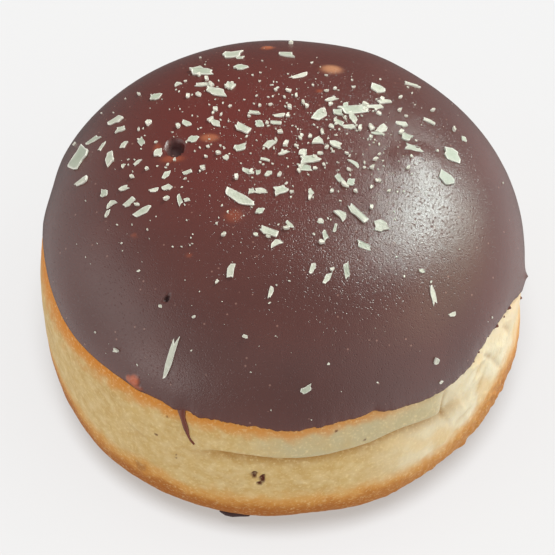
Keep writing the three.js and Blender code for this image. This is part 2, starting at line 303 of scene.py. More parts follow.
def add_object(name, mesh):
    """Object with a mesh, put in the scene."""
    piece = bpy.data.objects.new(name, mesh)
    bpy.context.scene.collection.objects.link(piece)
    return piece


# Colours and materials

# A colour mix's sockets: how much, the first colour, the second colour, and its result
HOW_MUCH, FIRST, SECOND, MIXED = 0, 6, 7, 2


def colour(code):
    """sRGB hex such as c8a46e as a linear colour."""
    parts = [int(code[i : i + 2], 16) / 255 for i in (0, 2, 4)]
    return (*[p / 12.92 if p <= 0.04045 else ((p + 0.055) / 1.055) ** 2.4 for p in parts], 1.0)


def add_node(tree, kind, settings=None, links=None):
    """Adds a node, gives it its settings and unlinked values, and links sockets into its inputs."""
    node = tree.nodes.new(kind)
    for key, value in (settings or {}).items():
        if isinstance(key, str) and hasattr(node, key):
            setattr(node, key, value)
        else:
            node.inputs[key].default_value = value
    for key, socket in (links or {}).items():
        tree.links.new(socket, node.inputs[key])
    return node


def mixed(tree, how_much, first, second):
    """Mix of two colours, each a socket or an sRGB hex."""
    settings, links = {"data_type": "RGBA"}, {HOW_MUCH: how_much}
    for key, given in ((FIRST, first), (SECOND, second)):
        if isinstance(given, str):
            settings[key] = colour(given)
        else:
            links[key] = given
    return add_node(tree, "ShaderNodeMix", settings, links).outputs[MIXED]


def patchy(tree, place, grain, detail, roughness=0.5):
    """Noise in patches of one size in millimetres."""
    settings = {"Scale": 1 / (grain * MM), "Detail": detail, "Roughness": roughness}
    return add_node(tree, "ShaderNodeTexNoise", settings, {"Vector": place}).outputs[0]


def dotted(tree, place, gap):
    """Distance from scattered dots, so many millimetres apart."""
    dots = add_node(tree, "ShaderNodeTexVoronoi", {"Scale": 1 / (gap * MM)}, {"Vector": place})
    return dots.outputs["Distance"]


def ranged(tree, value, low, high, at_low, at_high, kind="LINEAR"):
    """Value carried from one range into another, and held at its ends."""
    settings = {"From Min": low, "From Max": high, "To Min": at_low, "To Max": at_high}
    settings["interpolation_type"] = kind
    return add_node(tree, "ShaderNodeMapRange", settings, {"Value": value}).outputs[0]


def worked_out(tree, operation, first, second):
    """Result of a sum on two values."""
    return add_node(tree, "ShaderNodeMath", {"operation": operation}, {0: first, 1: second}).outputs[0]


def bumpy(tree, height, depth, strength=1.0):
    """Normal of a fine relief, its depth in millimetres."""
    settings = {"Strength": strength, "Distance": depth * MM}
    return add_node(tree, "ShaderNodeBump", settings, {"Height": height}).outputs[0]


def attribute(tree, name):
    """Value that the surface carries under a name."""
    return add_node(tree, "ShaderNodeAttribute", {"attribute_name": name}).outputs["Fac"]


def layered(tree, under, layers):
    """Lays colours over each other, each as strong as the surface attribute of that name."""
    for name, code in layers:
        under = mixed(tree, attribute(tree, name), under, code)
    return under


def end_material(tree, settings, links=None):
    """Ends a material's tree with its shader."""
    shader = add_node(tree, "ShaderNodeBsdfPrincipled", settings, links)
    add_node(tree, "ShaderNodeOutputMaterial", links={"Surface": shader.outputs[0]})


def new_material(name):
    """Empty material and its node tree."""
    material = bpy.data.materials.new(name)
    material.use_nodes = True
    material.node_tree.nodes.clear()
    return material, material.node_tree


# The dough's shades in the order they are laid, each as strong as the surface attribute of that name
DOUGH_SHADES = [
    ("pale", "e0d6b8"),
    ("tan", "d6b070"),
    ("blanched", "b8aa84"),
    # painted shade in the fold under the lip and in the puckers' grooves
    ("fold", "9a6e30"),
    ("toasted", "c98b38"),
    ("browned", "9e5a12"),
    ("gold", "c67a1c"),
    ("burnt", "4c1403"),
]


def dough_colour(tree, place):
    """Cream skin with milky patches, the dough's shades over it, and lighter grains that are partly
    painted glints.
    """
    cream = mixed(tree, patchy(tree, place, 5, 6.0, 0.62), "ad884b", "d1b57a")
    milky = ranged(tree, patchy(tree, place, 1.8, 5.0), 0.4, 0.75, 0.0, 0.3)
    shaded = layered(tree, mixed(tree, milky, cream, "eadcb4"), DOUGH_SHADES)
    # Real grains are finer than this, too fine to show, so they are drawn coarser; these light grains also
    # stand in for painted glints
    grain_and_painted_glint = ranged(tree, patchy(tree, place, 0.55, 2.0), 0.54, 0.76, 0.0, 0.36)
    return mixed(tree, grain_and_painted_glint, shaded, "ecd8a4")


def fried_dough():
    """Fried yeast dough: a soft, faintly oily skin, cream where it stayed above the fat and golden where
    it lay in it, with small pores.
    """
    material, tree = new_material("fried yeast dough")
    place = add_node(tree, "ShaderNodeTexCoord").outputs["Object"]
    # Drawn coarser than real pores, which would be too fine to show
    pores = patchy(tree, place, 0.7, 4.0)
    settings = {
        "Roughness": 0.55,
        "IOR": 1.36,
        "Specular IOR Level": 0.3,
        "Subsurface Weight": 0.1,
        "Subsurface Radius": (2.4 * MM, 1.4 * MM, 0.6 * MM),
        "Subsurface Scale": 1.0,
    }
    links = {"Base Color": dough_colour(tree, place), "Normal": bumpy(tree, pores, 0.18, 0.7)}
    end_material(tree, settings, links)
    return material


# The chocolate's shades in the same way: red where it is thin or blistered, with painted shade where its
# edge turns down, and darkened by painted shade in its burst bubbles
CHOCOLATE_SHADES = [
    ("warm", "602620"),
    ("film", "6a2a10"),
    ("ember", "ad5632"),
    ("blister", "b98560"),
    ("hollow", "2a1618"),
]


def chocolate_colour(tree, place):
    """Dark brown in faint clouds, the chocolate's shades over it, and pale specks."""
    dark = mixed(tree, patchy(tree, place, 11, 3.0), "4a2a26", "5a342e")
    shaded = layered(tree, dark, CHOCOLATE_SHADES)
    speck = ranged(tree, dotted(tree, place, 2.3), 0.05, 0.1, 0.5, 0.0)
    return mixed(tree, speck, shaded, "a07a6c")


def chocolate_grain(tree, place):
    """Sugary grit and pinholes, both drawn coarser than real ones, which would be too fine to show."""
    grit = patchy(tree, place, 0.22, 2.0)
    pinholes = ranged(tree, dotted(tree, place, 0.62), 0.05, 0.3, -0.8, 0.0)
    return bumpy(tree, worked_out(tree, "ADD", grit, pinholes), 0.06)


def set_chocolate():
    """Poured chocolate glaze, set: a satin face with a fine grain and pale specks, redder over the crown
    and dull inside its bubbles, where it is also darkened by painted shade.
    """
    material, tree = new_material("set chocolate glaze")
    place = add_node(tree, "ShaderNodeTexCoord").outputs["Object"]
    links = {
        "Base Color": chocolate_colour(tree, place),
        "Normal": chocolate_grain(tree, place),
        "Roughness": ranged(tree, attribute(tree, "hollow"), 0.0, 1.0, 0.22, 0.9),
    }
    end_material(tree, {"IOR": 1.45}, links)
    return material


# The flakes' shades in the same way; the whiter rim is partly a painted highlight on the chips' edges
FLAKE_SHADES = [("dull", "98a38e"), ("rim", "f5f3e8"), ("sunk", "929c90")]


def pale_flake():
    """Shaved white couverture: thin broken chips, dull and faintly green, whiter along their rims, partly
    as a painted highlight.
    """
    material, tree = new_material("white couverture flake")
    place = add_node(tree, "ShaderNodeTexCoord").outputs["Object"]
    patches = patchy(tree, place, 0.9, 5.0)
    whole = layered(tree, mixed(tree, patches, "9a9c88", "f4f1e2"), FLAKE_SHADES)
    links = {"Base Color": whole, "Normal": bumpy(tree, patches, 0.22)}
    end_material(tree, {"Roughness": 0.55, "IOR": 1.45}, links)
    return material


# The dough

# Rows of points on the belly, over the fold, up to the chocolate, and under it
BELLY_ROWS, FOLD_ROWS, COLLAR_ROWS, COVERED_ROWS = 44, 56, 28, 8
ROWS_BELOW_FOLD, ROWS_ABOVE_FOLD = 9, 4  # the fold's close rows reach this far below and above its crease
DOUGH_BACK = 0.2  # how far the skin lies back, so that its fine unevenness stays inside the solid's size
HIDDEN_DROP = 1.4  # how much lower the dough lies where the chocolate hides it
# Fine unevenness of the skin: grain, seed, height
DOUGH_SWELLS = [(9.0, 1, 0.14), (2.6, 2, 0.07), (1.0, 4, 0.03)]
RIGHT_BASE = (-40, 16, 22, 8)  # where the base is blistered: bearing, height and two spreads
BASE_BLISTERS = 0.7  # how far the largest of these blisters stand out
# Where the dough's shades lie
PALE_SIDE = (-58, -5)  # bearings between which the skin is pale and tan
LIP_FACE = (-94, -47)  # bearings between which the face of the lip is blanched
FULL_FOLD = 2.4  # depth of the fold where its painted shade is full
PAINTED_FOLD_SHADE = (0.4, 1.7, 0.7)  # painted shade: how far below the crease it is darkest, and how far it fades down and up
PAINTED_GROOVE_SHADE = 0.85
DARKEST_PAINTED_FOLD = 0.85
TOASTED_BAND = (-1.5, 4.0)  # distances below the brown line between which each shade grows to its full
BROWNED_BAND = (1.5, 6.5)
PUCKER_EASE = 0.6  # share of their full height that the puckers stand out
# Puckers, mostly at the right of the fold: both ends as bearing and height, half width, full height
PUCKERS = [
    (-48.0, 35.6, -48.9, 31.5, 0.5, -0.5), (-48.9, 31.5, -48.2, 28.5, 0.55, -0.6),
    (-48.2, 28.5, -46.2, 25.0, 0.6, -0.3), (-46.6, 32.0, -45.6, 28.0, 1.2, -0.25),
    (-44.8, 33.0, -41.8, 25.5, 0.7, 0.4), (-34.2, 35.4, -31.5, 33.0, 0.5, -0.45),
    (-31.5, 33.0, -26.8, 26.0, 0.6, -0.3), (-41.0, 36.6, -33.0, 33.9, 0.7, 0.35),
    (-39.0, 31.2, -34.4, 33.0, 0.5, -0.35), (-40.2, 27.5, -37.2, 31.5, 0.8, 0.35),
    (-37.5, 27.0, -33.5, 31.0, 0.6, -0.3), (-29.0, 33.5, -25.5, 30.5, 1.0, 0.3),
    (-24.5, 35.5, -20.0, 30.0, 0.7, -0.35), (-44.0, 24.0, -40.0, 24.6, 0.6, -0.25),
    (-126.0, 28.3, -123.4, 27.6, 0.3, -0.25), (-123.4, 27.6, -121.6, 26.8, 0.3, -0.2),
    (-107.0, 29.3, -103.5, 29.4, 0.4, -0.2), (-103.0, 30.2, -99.5, 28.6, 0.4, -0.3),
]
# Burst pits in the dough, and small burnt specks: bearing, height, spread sideways, spread upwards
PITS = [(-95.0, 25.1, 0.55, 0.95), (-93.0, 24.0, 0.6, 1.1), (-93.8, 22.6, 0.45, 0.5)]
PIT_DEPTH = 0.35  # the burnt specks are flat
SPECKS = [
    (-118.3, 29.7, 0.3, 0.3), (-113.2, 26.1, 0.2, 0.3), (-113.3, 25.2, 0.2, 0.3), (-115.8, 35.6, 0.2, 0.2),
    (-70, 33.4, 0.22, 0.22), (-76.5, 36.6, 0.25, 0.25),
]
STAIN = (-123, 17.1, 1.2, 1.4)  # soft brown spot, given as a pit is


def spots(bearing, height, places, uneven):
    """Strength of uneven spots with firm rims, each given by bearing, height and two spreads."""
    total = np.zeros_like(height)
    for at, up, wide, tall in places:
        far = np.hypot(sideways(bearing, at) / wide, (height - up) / tall) * (1 + uneven)
        total = np.maximum(total, np.exp(-(far**8)))
    return total


def puckers(bearing, height):
    """Sum of ridges and grooves, each between two points and weaker at its ends."""
    total = np.zeros_like(height)
    for at, up, end_at, end_up, wide, out in PUCKERS:
        run_x, run_y = sideways(end_at, at), end_up - up
        x, y = sideways(bearing, at), height - up
        along = np.clip((x * run_x + y * run_y) / (run_x**2 + run_y**2), 0, 1)
        far = np.hypot(x - along * run_x, y - along * run_y)
        strength = 0.35 + 0.65 * np.sin(math.pi * (0.15 + 0.7 * along))
        total += out * np.exp(-((far / wide) ** 2)) * strength
    return total


def dough_rows(bearing, edge):
    """Climb of each row of points, from the foot to the crown."""
    crease = crease_height(bearing)
    height = np.vstack([
        spread(0 * crease, crease - ROWS_BELOW_FOLD, BELLY_ROWS, 1.3),
        spread(crease - ROWS_BELOW_FOLD, crease + ROWS_ABOVE_FOLD, FOLD_ROWS),
        spread(crease + ROWS_ABOVE_FOLD, edge, COLLAR_ROWS),
    ])
    covered = climb_of_height(edge)
    under_chocolate = spread(covered, 0 * covered + math.pi / 2, COVERED_ROWS, 1.3)
    return np.vstack([climb_of_height(height), under_chocolate])


def painted_fold_shade(grid, over, gathers):
    """How deep the painted shade is in the fold and in the puckers' grooves."""
    below, down, up = PAINTED_FOLD_SHADE
    off = over + below
    inside_fold = np.exp(-((np.minimum(off, 0) / down) ** 2) - (np.maximum(off, 0) / up) ** 2)
    shade = crease_depth(grid) / FULL_FOLD * inside_fold + PAINTED_GROOVE_SHADE * np.maximum(-gathers, 0)
    return np.clip(shade, 0, DARKEST_PAINTED_FOLD)


def pale_shades(grid, points, over):
    """Strength of the paler skin at the right and on the face of the lip."""
    side_from, side_to = PALE_SIDE
    lip_from, lip_to = LIP_FACE
    right_side = smooth(sideways(grid, side_from), -14, 10) * smooth(sideways(grid, side_to), 8, -14)
    lip_front = smooth(sideways(grid, lip_from), -8, 10) * smooth(sideways(grid, lip_to), 2, -5)
    lip_face = smooth(over, -1.5, 0.5) * lip_front
    return {
        "pale": right_side * (0.85 + 0.3 * mottle(points, 3.5, 22)),
        "tan": 0.5 * smooth(mottle(points, 5.0, 21), 0.0, 0.5) * right_side,
        "blanched": lip_face * (0.9 + 0.4 * mottle(points, 2.6, 23)),
    }


def fried_shades(grid, points, level, below_edge, right_base):
    """Strength of the browned base and of the golden band under the chocolate, both with uneven ends."""
    gold_end = gold_reach(grid) * (1 + 0.45 * mottle(points, 1.8, 9))
    gold_down = np.exp(-((np.maximum(below_edge, 0) / gold_end) ** 3))
    brown_line = brown_height(grid) + 1.3 * mottle(points, 6.0, 7) + 1.1 * mottle(points, 1.6, 8)
    return {
        "toasted": 0.9 * smooth(brown_line - level, *TOASTED_BAND),
        "browned": smooth(brown_line - level, *BROWNED_BAND) * (1 - 0.45 * right_base),
        "gold": np.clip(gold_strength(grid) * gold_down, 0, 1),
    }


def dough_mesh():
    """The whole bun, with the strength of each of its shades."""
    bearing = bearing_steps()
    edge = edge_height(bearing)
    climb = dough_rows(bearing, edge)
    grid = np.broadcast_to(bearing, climb.shape)
    level = EQUATOR + section(climb)[1]
    points, outward = skin(grid, climb, -DOUGH_BACK)
    at, up, wide, tall = RIGHT_BASE
    right_base = np.exp(-((sideways(grid, at) / wide) ** 2) - ((level - up) / tall) ** 2)
    blisters = np.maximum(mottle(points, 1.3, 5), 0) * BASE_BLISTERS * right_base
    uneven = 0.5 * mottle(points, 0.8, 13)
    pits = spots(grid, level, PITS, uneven)
    gathers = puckers(grid, level)
    open_air = smooth(level, 0, FOOT_BLEND)
    below_edge = edge - level
    hidden = smooth(-below_edge, 0.15, 1.2)
    relief = open_air * (unevenness(points, DOUGH_SWELLS) + blisters + PUCKER_EASE * gathers)
    relief = relief - PIT_DEPTH * pits - HIDDEN_DROP * hidden
    points = points + outward * relief[..., None]
    over = level - crease_height(grid)
    specks = spots(grid, level, SPECKS, uneven)
    stain = spots(grid, level, [STAIN], uneven)
    values = {
        "fold": painted_fold_shade(grid, over, gathers),
        "burnt": np.maximum.reduce([pits, 0.8 * specks, 0.3 * stain]),
        **pale_shades(grid, points, over),
        **fried_shades(grid, points, level, below_edge, right_base),
    }
    foot = np.array([AXIS[0], AXIS[1], 0.0])
    crown, _ = skin(np.array(0.0), np.array(math.pi / 2), -HIDDEN_DROP - DOUGH_BACK)
    return grid_mesh("dough", foot, points, crown, values)


# The chocolate

GLAZE_ROWS, INNER_ROWS = 132, 6  # rows of points on its face, and on its hidden inside
INNER_STAND = -0.3  # how deep that inside lies under the plain bun's skin
RIM = [(0.5, -0.2), (0.0, -0.1), (-0.02, 0.08), (0.1, 0.22)]  # rounded rim: how far up, how far out
FACE_START = 0.25  # how far above the edge the first row of the face lies
GLAZE_SWELLS = [(12.0, 11, 0.05), (2.0, 12, 0.02)]  # fine unevenness: grain, seed, height
GLAZE_BACK = 0.02  # how far the face lies back, for the same reason as the dough's
RAGGED_DEPTH = 0.5  # how far the edge's teeth are felt in the chocolate's face
# Burst bubbles: x, y, two radii and depth; and their raised rim's height, place and width in radii
HOLES = [(-19.5, 4.3, 1.7, 2.2, 2.1), (-19.6, -26.6, 0.5, 0.6, 0.9), (24.6, 3.4, 0.3, 0.3, 0.15)]
HOLE_RIM = (0.08, 1.15, 0.2)
# Blisters: x, y, length, width, how far they stand out, how red and how pale they are
BLISTERS = [
    (8.3, 25.4, 3.6, 2.6, 0.2, 0.3, 0.75), (-13.4, 6.3, 3.2, 1.8, 0.1, 0.5, 0.25),
    (-3.6, 32.7, 2.2, 1.6, 0.2, 0.8, 0.2), (-8.6, -11.6, 3.2, 2.8, 0.1, 0.3, 0.0),
    (23.0, 3.6, 3.2, 2.0, 0.15, 0.0, 0.0), (24.0, 3.0, 10.0, 8.0, 0.32, 0.0, 0.0),
    (26.6, 1.0, 2.2, 1.6, 0.08, 0.0, 0.0), (6.1, 18.6, 1.2, 0.9, 0.1, 0.4, 0.0),
    (-19.8, 1.6, 4.2, 1.6, 0.05, 0.45, 0.0), (-22.6, 4.2, 1.4, 3.0, 0.05, 0.4, 0.0),
    (-25.8, -14.2, 1.0, 0.9, 0.05, 0.3, 0.0), (-16.0, -19.4, 1.0, 0.9, 0.05, 0.3, 0.0),
]
# Horn of chocolate at the edge: bearing, height, reach sideways and how far it stands out
HORN = (-9.8, 36.6, 0.75, 0.82)
# Blisters just above the edge: bearing, height, two spreads, and how red they are
EDGE_BLISTERS = [
    (-126.2, 40.1, 0.8, 0.7, 0.8),
    (-124.8, 40.5, 1.0, 0.95, 1.0),
    (-124.2, 39.5, 1.5, 0.5, 0.6),
]
EDGE_BLISTER_RISE = 0.3  # how far they stand out
WARM_PATCH = (-10.0, 8.0, 22.0, 23.0)  # the redder part of the crown: x, y and two spreads
EDGE_RED_AND_PAINTED_SHADE, THIN_EDGE_FADE = 0.6, 0.45  # how red the thin edge is, partly its own colour and partly painted shade for the darker reflection where it turns down, and over what distance that fades
# Where crumbs lie thickest: x, y, two spreads, and how thick
CRUMB_PATCHES = [
    (-1, 10, 19, 13, 1.0), (12, 2, 10, 10, 0.7), (-16, -12, 14, 12, 0.16), (0, -24, 26, 14, 0.1),
]


def glaze_rows(bearing):
    """Climb of each row of points, how far behind the edge it lies, and how far off the bun it stands."""
    start = climb_of_height(edge_height(bearing))
    reach = section(start)[4]
    inner = start + (math.pi / 2 - start) * np.linspace(0.9, 0.06, INNER_ROWS)[:, None]
    rim_up, rim_out = np.array(RIM).T[..., None]
    smooth_start = climb_of_height(plain_edge(bearing))
    first = smooth_start + FACE_START / reach
    outer = spread(first, 0 * first + math.pi / 2, GLAZE_ROWS, 1.1)
    outer = outer + (start - smooth_start) * np.exp(-(outer - first) * reach / RAGGED_DEPTH)
    climb = np.vstack([inner, rim_up / reach + start, outer])
    behind = (climb - start) * reach
    full = EDGE_THIN + (GLAZE_STAND - EDGE_THIN) * (1 - np.exp(-behind / EDGE_FADE))
    face_from = INNER_ROWS + len(RIM)
    stand = np.vstack([np.full_like(inner, INNER_STAND), rim_out + 0 * start, full[face_from:]])
    return climb, behind, stand


def glaze_relief(points, grid, level, face):
    """How far the chocolate's face stands out, how red and pale its marks look, and the painted shade in
    its burst bubbles.
    """
    relief = face * unevenness(points, GLAZE_SWELLS)
    x, y = points[..., 0], points[..., 1]
    ember, blister, hollow = np.zeros_like(x), np.zeros_like(x), np.zeros_like(x)
    for at_x, at_y, long, wide, swell, red, pale in BLISTERS:
        dome = np.exp(-((((x - at_x) * 2 / long) ** 2 + ((y - at_y) * 2 / wide) ** 2) ** 2))
        relief += face * swell * dome
        ember = np.maximum(ember, red * dome)
        blister = np.maximum(blister, pale * dome)
    for at, up, wide, tall, red in EDGE_BLISTERS:
        dome = np.exp(-(((sideways(grid, at) / wide) ** 2 + ((level - up) / tall) ** 2) ** 3))
        relief += face * EDGE_BLISTER_RISE * dome
        ember = np.maximum(ember, red * dome)
    rim_high, rim_at, rim_wide = HOLE_RIM
    for at_x, at_y, wide, long, depth in HOLES:
        far = np.hypot((x - at_x) / wide, (y - at_y) / long)
        bowl = np.sqrt(np.clip(1 - far**2, 0, 1))
        relief += face * (rim_high * np.exp(-(((far - rim_at) / rim_wide) ** 2)) - depth * bowl)
        # painted shade inside the burst bubbles
        hollow = np.maximum(hollow, smooth(bowl, 0.1, 0.8))
    return relief, ember, blister, hollow


def glaze_mesh():
    """The chocolate's shell, with the strength of its shades and of the crumbs that lie on it."""
    bearing = bearing_steps()
    climb, behind, stand = glaze_rows(bearing)
    grid = np.broadcast_to(bearing, climb.shape)
    level = EQUATOR + section(climb)[1]
    points, outward = skin(grid, climb, stand - GLAZE_BACK)
    face = smooth(stand, 0.3, 1.0)
    relief, ember, blister, hollow = glaze_relief(points, grid, level, face)
    horn_at, horn_up, horn_wide, horn_out = HORN
    horn_far = np.hypot(sideways(grid, horn_at), level - horn_up)
    relief += horn_out * np.exp(-horn_far / horn_wide) * (stand > 0)
    x, y = points[..., 0], points[..., 1]
    warm_x, warm_y, warm_long, warm_wide = WARM_PATCH
    crumbs = sum(
        thick * np.exp(-(((x - at_x) / long) ** 2) - ((y - at_y) / wide) ** 2)
        for at_x, at_y, long, wide, thick in CRUMB_PATCHES
    )
    values = {
        "warm": np.exp(-(((x - warm_x) / warm_long) ** 2) - ((y - warm_y) / warm_wide) ** 2),
        # red of the thin edge, laid on partly as painted shade
        "film": EDGE_RED_AND_PAINTED_SHADE * np.exp(-np.maximum(behind, 0) / THIN_EDGE_FADE),
        "ember": ember,
        "blister": blister,
        "hollow": 0.7 * hollow,
        "crumbs": crumbs * (face > 0.9) * (hollow < 0.01),
    }
    points = points + outward * relief[..., None]
    inside, _ = skin(np.array(0.0), np.array(math.pi / 2), INNER_STAND)
    outside, _ = skin(np.array(0.0), np.array(math.pi / 2), GLAZE_STAND - GLAZE_BACK)
    return grid_mesh("glaze", inside, points, outside, values)


# Chocolate on the dough: a long run and a short tongue from the edge, and a smear near the foot darkened
# with painted shade, each as points along its length: bearing, height, width and thickness
RUN = [
    (-112.6, 39.6, 1.5, 0.5), (-112.4, 38.2, 1.35, 0.45), (-111.9, 36.9, 1.2, 0.42),
    (-111.3, 35.6, 1.05, 0.4), (-110.8, 34.4, 0.85, 0.36), (-110.3, 33.2, 0.6, 0.3),
    (-109.7, 32.1, 0.42, 0.24), (-108.8, 31.3, 0.4, 0.2),
]
TONGUE = [(-9.6, 36.6, 4.2, 1.0), (-9.0, 35.4, 3.6, 0.9), (-8.4, 34.4, 2.4, 0.7), (-8.0, 33.6, 1.2, 0.4)]
SMEAR = [
    (-104, 7.6, 0.9, 0.4), (-102.6, 7.2, 2.4, 0.9), (-100.6, 7.1, 2.6, 1.0), (-98.6, 7.6, 1.8, 0.6),
    (-96.6, 8.6, 1, 0.3),
]
SMEAR_PAINTED_SHADE = 0.9  # how much of the hollows' painted shade it has
# Crumbs of chocolate on the dough by the edge: bearing, height, size
LOOSE_CRUMBS = [
    (-20.8, 37.6, 0.8), (-27.9, 38.5, 0.85), (-31.7, 38.6, 0.4), (-38.7, 37.3, 0.55), (-42.6, 36.9, 0.4),
    (-13.0, 33.4, 0.5), (-23.6, 37.4, 0.3), (-36.1, 37.7, 0.35),
]
SIDE_POINTS = 13  # points across a run, from one side to the other
STEPS_A_POINT = 6  # rings of points along a run for each point of its path
RUN_SINK = 0.15  # how deep a run's sides lie in the skin


def run_mesh(path, dark=0.0):
    """Raised bead of chocolate along a path on the skin, a little wavy at its sides."""
    steps = np.linspace(0, len(path) - 1, STEPS_A_POINT * len(path))
    bearing, height, wide, thick = (
        np.interp(steps, np.arange(len(path)), column)[:, None] for column in zip(*path)
    )
    run_up = np.gradient(height[:, 0])[:, None]
    run_across = np.gradient(sideways(bearing, path[0][0])[:, 0])[:, None]
    length = np.hypot(run_up, run_across)
    angle = np.linspace(0, math.pi, SIDE_POINTS)[None]
    aside = np.cos(angle) * wide / 2
    wobble = 1 + 0.15 * np.sin(steps * 2.1)[:, None]
    across = -aside * wobble * run_up / length
    up = aside * wobble * run_across / length
    stand = -RUN_SINK + np.sin(angle) * thick
    points, _ = skin(bearing + np.degrees(across / RADIUS), climb_of_height(height + up), stand)
    nothing = np.zeros(points.shape[:2])
    film = np.clip(1 - 0.6 * np.sin(angle) * thick, 0, 1) + nothing
    values = {
        "warm": nothing,
        "film": film,
        "ember": nothing,
        "blister": nothing,
        # painted shade as in the hollows, given for the smear
        "hollow": nothing + dark,
    }
    return grid_mesh("run", points[0].mean(0), points, points[-1].mean(0), values)


def loose_crumb_mesh(bearing, height, size):
    """Small lump of chocolate sitting on the skin: a run with three points."""
    end_wide, end_thick = size * 0.4, size * 0.3
    start = (bearing - size * 0.8, height, end_wide, end_thick)
    middle = (bearing, height, size, size * 0.8)
    end = (bearing + size * 0.8, height + 0.1, end_wide, end_thick)
    return run_mesh([start, middle, end])


def joined(name, meshes):
    """One mesh from several, attributes kept."""
    whole = bmesh.new()
    for mesh in meshes:
        whole.from_mesh(mesh)
    bmesh.ops.recalc_face_normals(whole, faces=whole.faces)
    result = bpy.data.meshes.new(name)
    whole.to_mesh(result)
    whole.free()
    result.shade_smooth()
    return result


# Flakes: x, y, length, width and heading in degrees, by where they lie on the dome
LEFT_FLAKES = [
    (-37.2, 7.6, 4.8, 4.6, -41), (-30.7, 14.2, 3.4, 2.0, 32), (-34.9, 10.7, 3.8, 1.3, 5),
    (-31.2, 3.7, 3.2, 1.7, -80), (-36.2, 0.6, 3.0, 1.5, 8), (-23.6, 18.5, 2.4, 1.6, 35),
    (-24.5, -9.6, 3.3, 1.3, 31), (-29.7, 11.0, 2.0, 1.5, -9), (-22.3, 3.3, 2.1, 1.6, 80),
    (-27.1, -7.4, 2.5, 1.3, 40), (-28.8, 6.7, 1.9, 1.3, 73), (-28.2, -3.9, 1.8, 1.2, 19),
    (-30.2, -6.7, 2.3, 1.1, 29), (-31.8, -4.0, 1.7, 1.3, 85), (-25.6, 6.6, 2.0, 1.1, -60),
    (-20.4, -5.0, 1.9, 1.4, 39), (-18.1, -7.8, 3.0, 0.9, -76), (-20.7, -2.0, 1.9, 1.1, 67),
    (-22.8, -5.3, 1.8, 1.0, 8), (-16.3, 6.0, 2.2, 1.3, 30), (-17.6, 10.0, 1.8, 1.1, -25),
    (-32.9, 7.8, 2.3, 0.8, 55), (-26.0, 1.6, 2.0, 0.7, 41), (-17.1, -1.9, 1.8, 0.9, 23),
    (-16.8, -8.0, 1.2, 0.9, 20), (-30.9, -8.6, 1.6, 0.7, 70), (-28.6, 1.4, 1.1, 0.6, 60),
]
FAR_FLAKES = [
    (-10.1, 30.4, 3.9, 2.8, 5), (-15.6, 24.7, 4.9, 1.7, -12), (-16.2, 25.9, 2.2, 1.6, 20),
    (-0.1, 29.8, 3.6, 1.7, -14), (-12.4, 18.0, 3.9, 1.9, -22), (2.4, 22.7, 3.7, 1.2, 26),
    (-8.3, 25.2, 2.7, 1.3, 5), (16.8, 20.7, 2.7, 2.2, -18), (23.2, 24.7, 3.4, 1.2, 4),
    (-14.9, 20.4, 3.8, 0.9, -7), (-10.4, 19.7, 2.1, 1.9, -33), (18.0, 17.2, 3.2, 1.3, 29),
    (8.3, 16.5, 2.4, 1.1, 30), (-19.7, 21.6, 1.6, 1.1, 30), (-8.6, 28.8, 1.6, 0.8, 0),
]
CROWN_FLAKES = [
    (12.2, 14.1, 5.4, 1.8, 14), (16.4, 15.5, 3.4, 1.2, 20), (9.4, 13.2, 2.2, 1.4, -10),
    (12.2, 11.9, 3.0, 1.2, -62), (14.0, 14.6, 2.0, 2.0, 60), (10.9, 15.3, 1.4, 0.8, 60),
    (6.3, 12.4, 3.2, 2.1, 61), (4.5, 1.3, 4.0, 1.9, 8), (3.4, 3.0, 1.8, 1.5, 70),
    (-7.8, 8.5, 3.3, 1.8, -33), (-2.6, 4.8, 2.6, 1.7, 54), (9.1, 5.1, 2.3, 1.6, -16),
    (6.0, 5.8, 2.3, 1.6, 8), (-7.9, 3.9, 2.5, 1.4, 21), (3.6, -0.5, 2.8, 1.2, -4),
    (11.6, 9.6, 2.6, 1.2, 18), (9.7, 10.7, 2.7, 1.0, -40), (-12.4, 9.8, 2.2, 1.3, -28),
    (-1.1, 11.8, 2.3, 1.0, 6), (-4.6, 9.6, 1.8, 1.4, -32), (-6.3, -1.7, 2.2, 1.0, -22),
    (-5.6, 12.4, 2.4, 0.9, -11), (-10.3, 1.4, 1.4, 1.1, -52), (-1.8, 9.9, 2.2, 0.9, -5),
    (-3.3, 1.1, 2.1, 0.7, -12), (-0.1, 2.8, 2.1, 0.8, 33), (12.5, 0.8, 2.8, 0.8, -40),
    (9.8, -2.7, 2.3, 1.1, -61), (11.7, -3.5, 2.0, 1.2, 79), (-2.7, -2.1, 1.4, 1.2, 80),
    (-4.6, -1.9, 1.2, 0.9, 80), (4.8, -6.2, 1.6, 0.9, -65), (17.3, 9.6, 2.6, 1.8, 50),
]
RIGHT_FLAKES = [
    (30.0, 6.3, 3.8, 2.8, -35), (28.9, 0.2, 3.0, 2.6, -22), (23.0, 5.8, 3.6, 1.6, -8),
    (17.2, -12.7, 3.0, 2.4, 7), (12.7, -10.2, 4.9, 1.5, -46), (26.2, 14.0, 2.9, 1.2, -11),
    (26.3, -23.6, 3.5, 1.1, -62), (10.2, -11.0, 2.8, 1.5, -45), (21.8, 8.5, 2.0, 1.7, -17),
    (14.1, -16.9, 2.8, 1.1, -17), (21.1, 11.7, 2.5, 1.3, 13), (16.5, 8.6, 2.7, 0.8, 7),
    (24.3, -20.0, 1.0, 0.8, 13), (29.8, -25.3, 1.6, 0.9, 22), (32.5, 12.1, 1.3, 1.0, -31),
]
